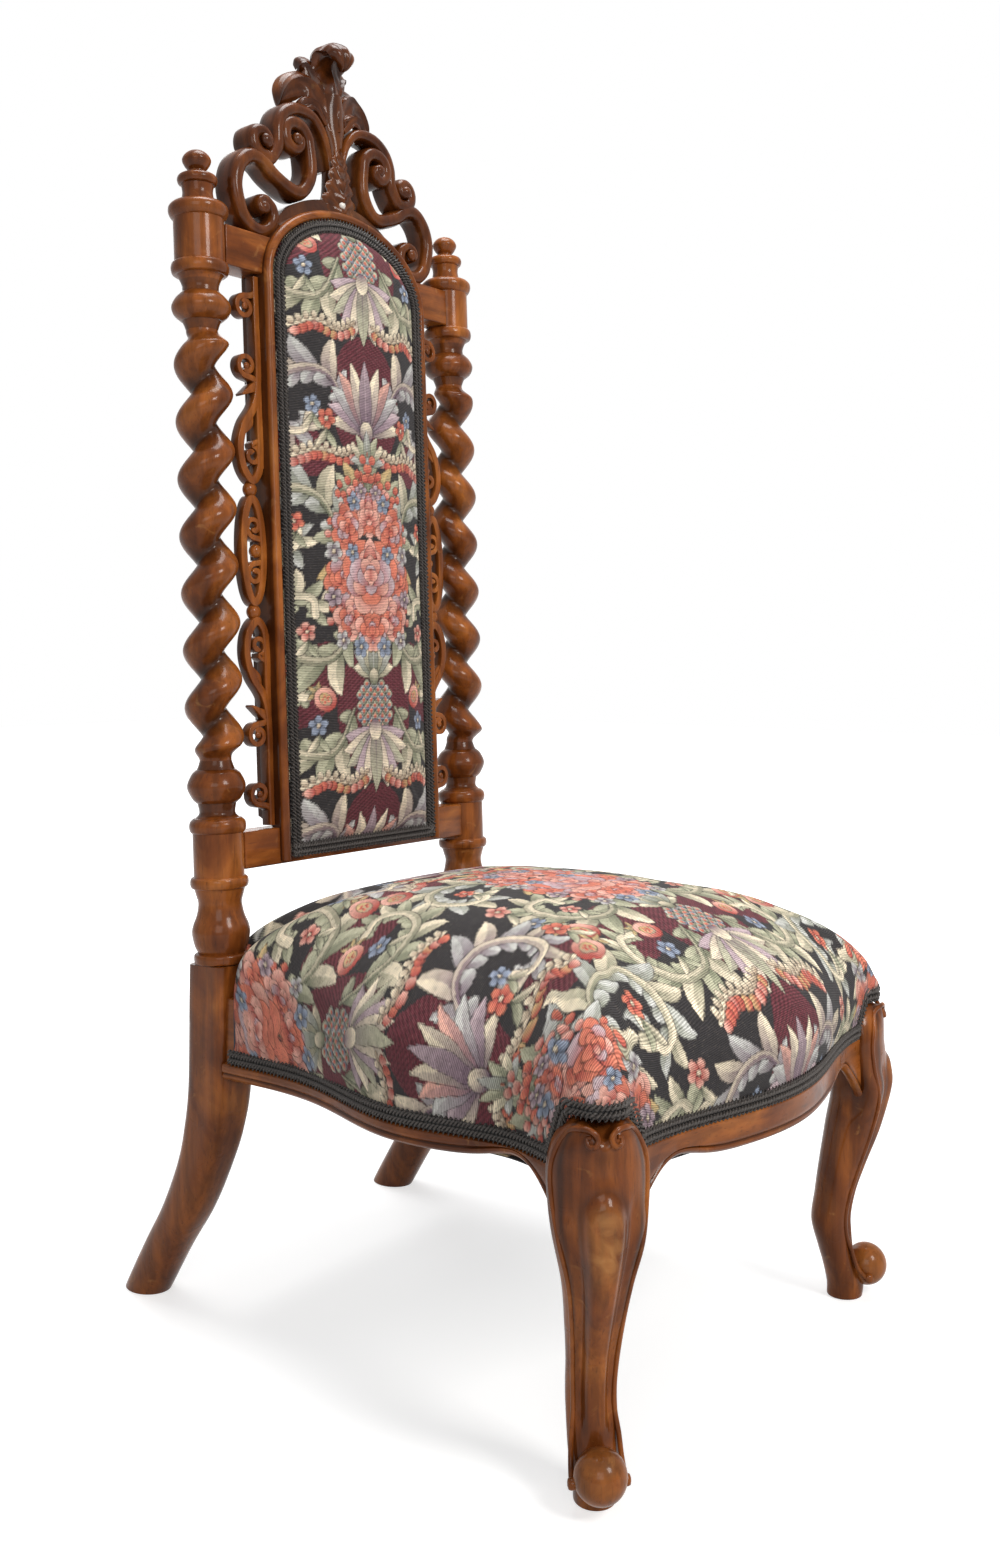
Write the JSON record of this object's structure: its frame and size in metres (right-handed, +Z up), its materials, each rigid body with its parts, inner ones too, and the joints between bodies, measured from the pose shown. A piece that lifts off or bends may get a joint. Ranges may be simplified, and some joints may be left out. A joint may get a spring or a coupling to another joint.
{
  "type": "side chair",
  "caption": "Low upholstered side chair with a tall narrow padded back between barley-twist posts, pierced frets, a carved scroll crest and cabriole front legs.",
  "frame": {"origin": "on the floor, at the middle of the chair's bounding box", "axes": "+Z up, -Y is the way the chair faces, +X to the right as seen from the front"},
  "size_m": [0.478, 0.595, 1.1598],
  "materials": {
    "walnut": "glossy worn French polish, darker in the carving",
    "beech": "plain unpolished, out of sight",
    "tapestry": "matt ribbed weave, coloured flowers on a black ground",
    "braid": "black corded gimp",
    "hessian": "coarse jute",
    "lining": "plain black cotton",
    "steel": "dull wire and screws"
  },
  "bodies": {
    "root": {"back_post_left": "walnut", "back_post_right": "walnut", "finial_left": "walnut", "finial_right": "walnut", "back_top_rail": "walnut", "back_bottom_rail": "walnut", "panel_stile_left": "walnut", "panel_stile_right": "walnut", "fret_left": "walnut", "fret_right": "walnut", "crest": "walnut", "back_leg_left": "walnut", "back_leg_right": "walnut", "front_leg_left": "walnut", "front_leg_right": "walnut", "seat_rail_front": "walnut", "seat_rail_left": "walnut", "seat_rail_right": "walnut", "seat_rail_back": "beech", "crest_dowel_left": "beech", "crest_dowel_right": "beech", "corner_block_front_left": "beech", "corner_block_front_right": "beech", "corner_block_back_left": "beech", "corner_block_back_right": "beech", "seat_cover": "tapestry", "back_cover": "tapestry", "seat_braid": "braid", "back_braid": "braid", "back_hessian": "hessian", "back_pad": "hessian", "seat_stuffing": "hessian", "spring_canvas": "hessian", "webbing_long_1": "hessian", "webbing_long_2": "hessian", "webbing_long_3": "hessian", "webbing_cross_1": "hessian", "webbing_cross_2": "hessian", "webbing_cross_3": "hessian", "outside_back_cloth": "lining", "bottom_cloth": "lining", "seat_spring_1": "steel", "seat_spring_2": "steel", "seat_spring_3": "steel", "seat_spring_4": "steel", "seat_spring_5": "steel", "corner_screw_front_left": "steel", "corner_screw_front_right": "steel", "corner_screw_back_left": "steel", "corner_screw_back_right": "steel"}
  },
  "joints": []
}
